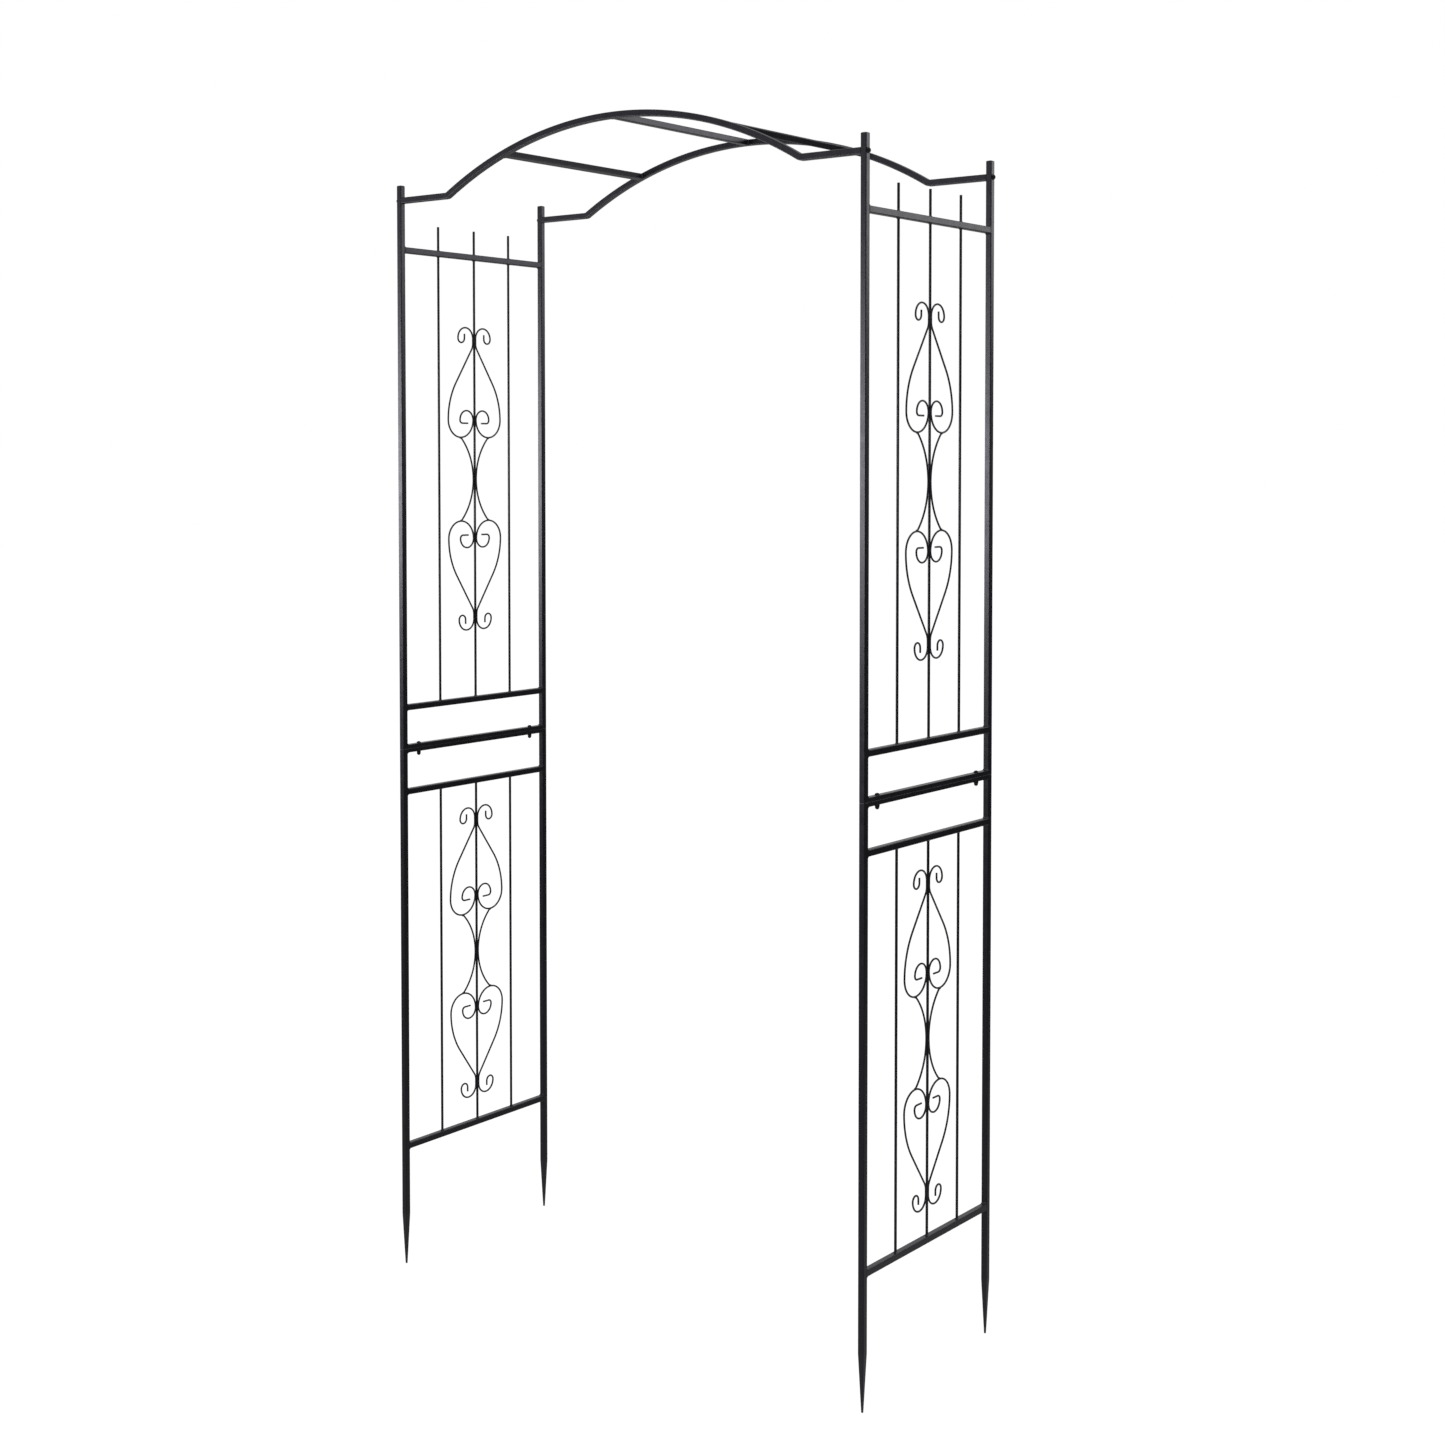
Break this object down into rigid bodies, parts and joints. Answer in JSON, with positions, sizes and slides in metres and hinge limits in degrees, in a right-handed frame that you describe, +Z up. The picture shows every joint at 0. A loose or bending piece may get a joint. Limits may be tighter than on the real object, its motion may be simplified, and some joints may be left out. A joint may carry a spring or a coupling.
{
  "type": "garden trellis arch",
  "caption": "Walk-through garden arch of black square tube, with pointed stakes, ladder side panels, wire heart scrolls and a bowed top with rungs.",
  "frame": {"origin": "on the ground plane at the level of the stake tips, midway between the four posts", "axes": "+X across the path to the right post pair, +Y through the arch from front to back, +Z up"},
  "size_m": [1.1408, 0.43, 2.2905],
  "materials": {
    "frame": "satin black powder coat, faint orange peel",
    "scroll": "satin black powder coat on bent wire",
    "fastener": "black zinc plated, semi-gloss",
    "hidden_steel": "bare mill steel inside the tubes",
    "cap": "matt black moulded plastic"
  },
  "bodies": {
    "root": {"lower_post_front_left": "frame", "upper_post_front_left": "frame", "post_sleeve_front_left": "hidden_steel", "lower_post_front_right": "frame", "upper_post_front_right": "frame", "post_sleeve_front_right": "hidden_steel", "lower_post_back_left": "frame", "upper_post_back_left": "frame", "post_sleeve_back_left": "hidden_steel", "lower_post_back_right": "frame", "upper_post_back_right": "frame", "post_sleeve_back_right": "hidden_steel", "post_caps": "cap", "left_bottom_rail": "frame", "left_lower_head_rail": "frame", "left_lower_joint_bar": "frame", "left_upper_joint_bar": "frame", "left_upper_base_rail": "frame", "left_top_rail": "frame", "left_lower_rod_front": "frame", "left_lower_rod_mid": "frame", "left_lower_rod_back": "frame", "left_lower_scroll_upright": "scroll", "left_lower_scroll_inverted": "scroll", "left_lower_scroll_links": "scroll", "left_upper_rod_front": "frame", "left_upper_rod_mid": "frame", "left_upper_rod_back": "frame", "left_upper_scroll_upright": "scroll", "left_upper_scroll_inverted": "scroll", "left_upper_scroll_links": "scroll", "right_bottom_rail": "frame", "right_lower_head_rail": "frame", "right_lower_joint_bar": "frame", "right_upper_joint_bar": "frame", "right_upper_base_rail": "frame", "right_top_rail": "frame", "right_lower_rod_front": "frame", "right_lower_rod_mid": "frame", "right_lower_rod_back": "frame", "right_lower_scroll_upright": "scroll", "right_lower_scroll_inverted": "scroll", "right_lower_scroll_links": "scroll", "right_upper_rod_front": "frame", "right_upper_rod_mid": "frame", "right_upper_rod_back": "frame", "right_upper_scroll_upright": "scroll", "right_upper_scroll_inverted": "scroll", "right_upper_scroll_links": "scroll", "front_bowed_bar": "frame", "back_bowed_bar": "frame", "top_rung_left": "frame", "top_rung_mid": "frame", "top_rung_right": "frame", "arch_screws": "fastener", "arch_end_plugs": "hidden_steel", "joint_screws": "fastener", "joint_cap_nuts": "fastener"}
  },
  "joints": []
}
